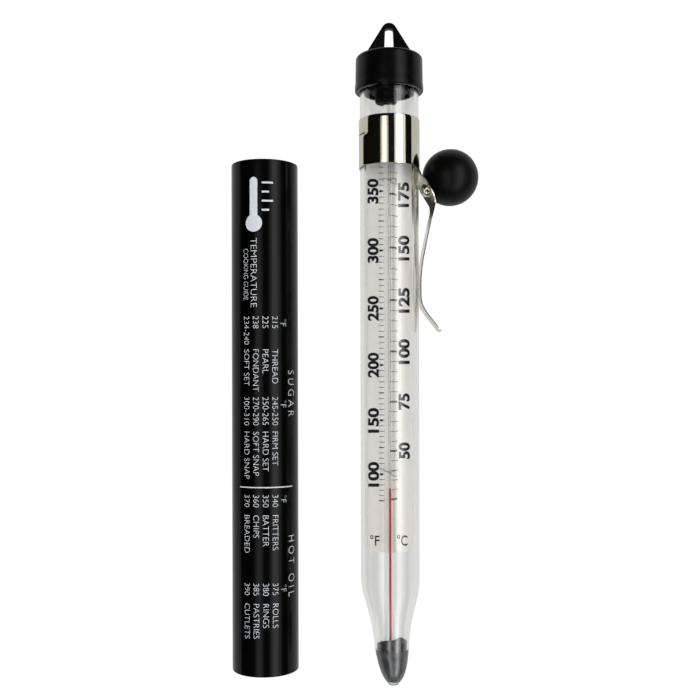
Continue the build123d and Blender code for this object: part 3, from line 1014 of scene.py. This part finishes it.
def screw():
    """A domed slotted screw head on a washer inside the arm, with its shank in the ball."""
    head_r, head_h, dome_steps = 1.95 * MM, 1.3 * MM, 12
    shank_r, shank_end, chamfer = 1.42 * MM, 6.6 * MM, 0.3 * MM
    slot_half, slot_depth, slot_turn = 0.22 * MM, 0.4 * MM, 0.5
    flat = -(SEAT + SCREW_SEAT + WASHER_T)
    outline = [(flat - head_h, 0.0)]
    for k in range(1, dome_steps + 1):
        a = math.pi / 2 * k / dome_steps
        outline.append((flat - head_h * math.cos(a), head_r * math.sin(a)))
    outline += [(flat + 0.05 * MM, head_r), (flat + 0.08 * MM, WASHER_R), (flat + WASHER_T, WASHER_R)]
    outline += [(flat + WASHER_T, shank_r), (flat + shank_end - chamfer, shank_r)]
    outline += [(flat + shank_end, shank_r - chamfer), (flat + shank_end, 0.0)]
    body = turned_piece("screw_body", outline, 0.0, 64)
    place, out = screw_line(SEAT + SCREW_SEAT + WASHER_T + head_h)
    corners = [(x * 3 * MM, y * slot_half) for x, y in ((-1, -1), (1, -1), (1, 1), (-1, 1))]
    cutter = prism("screw_slot", corners, slot_depth)
    turn = Vector((0, 0, 1)).rotation_difference(out).to_matrix().to_4x4()
    cutter.data.transform(Matrix.Translation(place) @ turn @ Matrix.Rotation(slot_turn, 4, "Z"))
    cut_slot(body, cutter)
    apply_modifiers(body)
    bpy.data.objects.remove(cutter)
    shade(body.data, 35)
    return dress(body, SCREW_STEEL, "sprung_arm", ["knob_screw"])


# ---------------- sleeve and its print
def sleeve_tube():
    """The loose cover: a plain tube with soft lips, open at both ends."""
    bore, lip = 9.2 * MM, 0.35 * MM
    corners = [
        (SLEEVE_LOW.y, bore, lip),
        (SLEEVE_LOW.y, SLEEVE_R, lip),
        (SLEEVE_HIGH.y, SLEEVE_R, lip),
        (SLEEVE_HIGH.y, bore, lip),
    ]
    pipe = lathe("sleeve_tube", rounded(corners), SLEEVE_AXIS, 192)
    return dress(pipe, SLEEVE_BLACK, "cover", ["sleeve"])


def wrap_on_sleeve(mesh, name):
    """Bend a flat mesh, x along the arc from the top line and y along the tube, onto the sleeve."""
    bm = bmesh.new()
    bm.from_mesh(mesh)
    xs = [v.co.x for v in bm.verts]
    step = 0.5 * MM
    cut = math.ceil(min(xs) / step) * step
    while cut < max(xs):
        everything = bm.verts[:] + bm.edges[:] + bm.faces[:]
        bmesh.ops.bisect_plane(bm, geom=everything, plane_co=(cut, 0, 0), plane_no=(1, 0, 0), dist=1e-7)
        cut += step
    for vert in bm.verts:
        angle = vert.co.x / SLEEVE_R
        r = SLEEVE_R + 0.015 * MM + vert.co.z
        x, z = r * math.sin(angle), r * math.cos(angle)
        vert.co = Vector((SLEEVE_AXIS.x + x, vert.co.y, SLEEVE_AXIS.z + z))
    bm.to_mesh(mesh)
    bm.free()
    piece = new_object(name, mesh)
    return dress(piece, GUIDE_INK, "cover")


def guide_words(entries, name):
    """Entries are (words, arc x, y, height, length); all read down the sleeve."""
    meshes = []
    for words, x, y, height, length in entries:
        mesh = lettering(words, height, length, GUIDE_WEIGHT)
        xs = [v.co.x for v in mesh.vertices]
        mesh.transform(Matrix.Translation((-min(xs), 0, INK_THICK / 2)))
        mesh.transform(Matrix.Rotation(-math.pi / 2, 4, "Z"))
        mesh.transform(Matrix.Translation((x, y, 0)))
        meshes.append(mesh)
    return wrap_on_sleeve(join_meshes(name, meshes), name)


GUIDE_WEIGHT = -0.018
GUIDE_ROWS = [3.9 * MM, 1.0 * MM, -1.9 * MM, -4.9 * MM]
# The guide's columns: y in mm, and an entry for each row
GUIDE = [
    (11.3, ["215", "225", "238", "234-240"]),
    (1.4, ["THREAD", "PEARL", "FONDANT", "SOFT SET"]),
    (-12.75, ["245-250", "250-265", "270-290", "300-310"]),
    (-23.1, ["FIRM SET", "HARD SET", "SOFT SNAP", "HARD SNAP"]),
    (-41.9, ["340", "350", "360", "370"]),
    (-47.95, ["FRITTERS", "BATTER", "CHIPS", "BREADED"]),
    (-68.2, ["375", "380", "385", "390"]),
    (-74.3, ["ROLLS", "RINGS", "PASTRIES", "CUTLETS"]),
]
ROW_HEIGHT = 1.75 * MM
UNIT_X, UNIT_SIZE = 6.7 * MM, 2.0 * MM
HEAD_X, HEAD_HEIGHT = 9.8 * MM, 2.7 * MM
UNIT_YS = [10.4 * MM, -13.9 * MM, -42.3 * MM, -69.0 * MM]
HEADS = [("S U G A R", -4.8 * MM, 13.8 * MM), ("H O T   O I L", -54.5 * MM, 18.2 * MM)]
RULE = (-7.7 * MM, 10.2 * MM, -39.85 * MM, -39.5 * MM)
SIGN_X = -2.5 * MM


def flat_box(x0, x1, y0, y1):
    """A thin printed rectangle, laid flat before it is wrapped."""
    verts = [(x, y, z) for z in (0, INK_THICK) for x, y in ((x0, y0), (x1, y0), (x1, y1), (x0, y1))]
    mesh = bpy.data.meshes.new("flat_box")
    mesh.from_pydata(verts, [], BAR_FACES)
    return mesh


def sleeve_print():
    """A plain temperature guide in pale ink, with a simple thermometer sign in place of any mark."""
    entries = []
    for y, words in GUIDE:
        for row, text in zip(GUIDE_ROWS, words):
            entries.append((text, row, y * MM, ROW_HEIGHT, None))
    guide_words(entries, "guide_rows")
    heads = [("°F", UNIT_X, y, UNIT_SIZE, UNIT_SIZE) for y in UNIT_YS]
    heads += [(text, HEAD_X, y, HEAD_HEIGHT, length) for text, y, length in HEADS]
    guide_words(heads, "guide_heads")
    title = [
        ("TEMPERATURE", -2.5 * MM, 34.5 * MM, 1.9 * MM, 20.5 * MM),
        ("COOKING GUIDE", -5.1 * MM, 31.4 * MM, 1.6 * MM, 15.2 * MM),
    ]
    guide_words(title, "guide_title")
    wrap_on_sleeve(flat_box(*RULE), "guide_rule")
    sign = prism("sign", sign_outline(), INK_THICK / 2)
    mesh = sign.data
    bpy.data.objects.remove(sign)
    mesh.transform(Matrix.Translation((0, 0, INK_THICK / 2)))
    wrap_on_sleeve(mesh, "guide_sign")
    bars = []
    for k in range(4):
        y = (42.6 + 2.7 * k) * MM
        long = 3.4 * MM if k % 2 else 2.2 * MM
        bars.append(flat_box(0.0, long, y, y + 0.55 * MM))
    wrap_on_sleeve(join_meshes("sign_bars", bars), "guide_sign_bars")


def sign_outline(steps=24, top_steps=8):
    """A thermometer drawn as a rounded bar on a round bulb, lying along the sleeve."""
    bulb_y, bulb_r, bar_r, top_y = 39.0 * MM, 2.6 * MM, 1.2 * MM, 51.5 * MM
    open_angle = math.asin(bar_r / bulb_r)
    points = []
    for k in range(steps + 1):
        a = math.pi / 2 + open_angle + (TAU - 2 * open_angle) * k / steps
        points.append((SIGN_X + bulb_r * math.cos(a), bulb_y + bulb_r * math.sin(a)))
    for k in range(top_steps + 1):
        a = math.pi * k / top_steps
        points.append((SIGN_X + bar_r * math.cos(a), top_y + bar_r * math.sin(a)))
    return points


# ---------------- stage, lights, camera
def stage_material(name, low, high, painted_shadow=None):
    """A faintly uneven glowing surface for the floor and the backdrop, with an optional painted shadow: a
    dark spot that fades out at its reach.
    """
    mat, nodes, links, shader = new_material(name)
    patches = noise_at(nodes, links, 3, 2)
    tint = ramp(nodes, links, patches.outputs["Fac"], 0.3, 0.7, [(low,) * 3, (high,) * 3])
    if painted_shadow:
        centre, reach = painted_shadow
        place = nodes.new("ShaderNodeTexCoord")
        away = nodes.new("ShaderNodeVectorMath")
        away.operation = "DISTANCE"
        away.inputs[1].default_value = centre
        links.new(place.outputs["Object"], away.inputs[0])
        share = nodes.new("ShaderNodeMath")
        share.operation = "DIVIDE"
        share.inputs[1].default_value = reach
        links.new(away.outputs["Value"], share.inputs[0])
        # Painted shadow: dark out to about half its reach, fading to no change at the reach
        painted_shadow_spot = ramp(nodes, links, share.outputs["Value"], 0.45, 1.0, [(0.06,) * 3, (1.0,) * 3])
        mix = nodes.new("ShaderNodeVectorMath")
        mix.operation = "MULTIPLY"
        links.new(tint, mix.inputs[0])
        links.new(painted_shadow_spot, mix.inputs[1])
        tint = mix.outputs["Vector"]
    shader.inputs["Base Color"].default_value = (0, 0, 0, 1)
    shader.inputs["Specular IOR Level"].default_value = 0.0
    links.new(tint, shader.inputs["Emission Color"])
    shader.inputs["Emission Strength"].default_value = 1.0
    return mat


def stage_piece(name, verts, faces, mat, seen, behind):
    """A piece of the set, either seen by the camera or met by light that the object bends and mirrors."""
    mesh = bpy.data.meshes.new(name)
    mesh.from_pydata(verts, [], faces)
    piece = new_object(name, mesh)
    piece.data.materials.append(mat)
    piece.visible_camera = seen
    piece.visible_diffuse = behind
    piece.visible_glossy = behind
    piece.visible_transmission = behind


def stage():
    """White sweep for the camera, and the dimmer table top that glass and metal show, with a shadow painted
    on it under the ball.
    """
    reach, top, ground = 3.0, 5.0, CAD_BOX[0].z
    corners = [(-reach, -reach), (reach, -reach), (reach, reach), (-reach, reach)]
    white = stage_material("sweep_white", 1.02, 1.04)
    # A shadow painted on the table top under the ball and arm, which the arm and glass show in their
    # reflections
    painted_shadow_centre = (AXIS.x + 13.5 * MM, 50.0 * MM, ground)
    grey = stage_material("table_grey", 0.74, 0.78, (painted_shadow_centre, 10.5 * MM))
    low, high = ground - 0.1 * MM, ground - 0.05 * MM
    flat = [(0, 1, 2, 3)]
    stage_piece("floor", [(x, y, low) for x, y in corners], flat, white, True, False)
    stage_piece("table_top", [(x, y, high) for x, y in corners], flat, grey, False, True)
    verts = [(x, y, z) for z in (low - 0.01, top) for x, y in corners]
    faces = [(0, 1, 5, 4), (1, 2, 6, 5), (2, 3, 7, 6), (3, 0, 4, 7), (4, 5, 6, 7)]
    stage_piece("backdrop", verts, faces, white, True, False)


def area_light(name, tilt_deg, width, low_y, high_y, radiance, distance=0.7, mirrored=True):
    """A rectangular light over the table, by its angle from overhead towards +X and its stretch in Y."""
    data = bpy.data.lights.new(name, "AREA")
    data.shape = "RECTANGLE"
    data.size = width
    data.size_y = high_y - low_y
    data.energy = radiance * data.size * data.size_y * math.pi
    light = bpy.data.objects.new(name, data)
    bpy.context.scene.collection.objects.link(light)
    tilt = math.radians(tilt_deg)
    middle = (low_y + high_y) / 2
    light.location = (AXIS.x + distance * math.sin(tilt), middle, AXIS.z + distance * math.cos(tilt))
    light.rotation_euler = (0, tilt, 0)
    light.visible_glossy = mirrored
    light.visible_transmission = mirrored
    light.visible_camera = False
    return light


def lights():
    """Two long softboxes that the cylinders mirror as stripes, and a fill that only lights matt surfaces."""
    area_light("softbox_left", -20, 0.36, -1.1, 0.27, 0.8)
    area_light("softbox_left_core", -20, 0.2, -1.1, 0.27, 1.0, 0.69)
    area_light("softbox_right", 39, 0.55, -1.1, 0.55, 1.2)
    area_light("softbox_right_core", 37, 0.26, -1.1, 0.55, 2.2, 0.69)
    area_light("fill", 0, 1.2, -0.6, 0.6, 4.2, 0.9, mirrored=False)


def world():
    """Dim room above the table, a little lighter overhead."""
    made = bpy.data.worlds.new("studio")
    bpy.context.scene.world = made
    made.use_nodes = True
    nodes, links = made.node_tree.nodes, made.node_tree.links
    place = nodes.new("ShaderNodeTexCoord")
    split = nodes.new("ShaderNodeSeparateXYZ")
    links.new(place.outputs["Generated"], split.inputs["Vector"])
    shade = ramp(nodes, links, split.outputs["Z"], 0.0, 1.0, [(0.004, 0.004, 0.003), (0.009, 0.009, 0.008)])
    links.new(shade, nodes["Background"].inputs["Color"])


def camera():
    """Straight down on the table, a little off the middle and turned by a hair."""
    data = bpy.data.cameras.new("camera")
    data.lens = 50
    data.sensor_width = 36
    data.shift_y = 0.05
    data.clip_start = 0.01
    cam = bpy.data.objects.new("camera", data)
    bpy.context.scene.collection.objects.link(cam)
    cam.location = (-1.75 * MM, -9.25 * MM, 309 * MM)
    cam.rotation_euler = (0, 0, math.radians(-0.14))
    bpy.context.scene.camera = cam


def look():
    """Plain colours, and enough bounces for glass behind glass."""
    scene = bpy.context.scene
    scene.view_settings.view_transform = "Standard"
    scene.view_settings.look = "None"
    scene.cycles.use_denoising = True
    scene.cycles.max_bounces = 20
    scene.cycles.transmission_bounces = 20
    scene.cycles.glossy_bounces = 6
    scene.cycles.sample_clamp_indirect = 6


# ---------------- the object
glass_envelope()
tip_metal()
cap_shell()
hanging_ear()
stopper()
bush()
stem()
spirit_thread()
card_plate()
scale_ticks("fahrenheit_ticks", 75, 400, FAHRENHEIT_TICKS, fahrenheit_y)
scale_ticks("celsius_ticks", 25, 200, CELSIUS_TICKS, scale_y)
scale_figures()
wire_tie("tie_upper", "upper_tie", 1)
wire_tie("tie_lower", "lower_tie", 2)
collar()
arm_sheet()
knob()
screw()
sleeve_tube()
sleeve_print()
for node, material in (("spirit_bulb", STEM_GLASS), ("bulb_spirit", SPIRIT), ("knob_insert", INSERT_BRASS)):
    carried = frame["nodes"][node]
    carried.data.materials.clear()
    carried.data.materials.append(material)

stage()
lights()
world()
camera()
look()
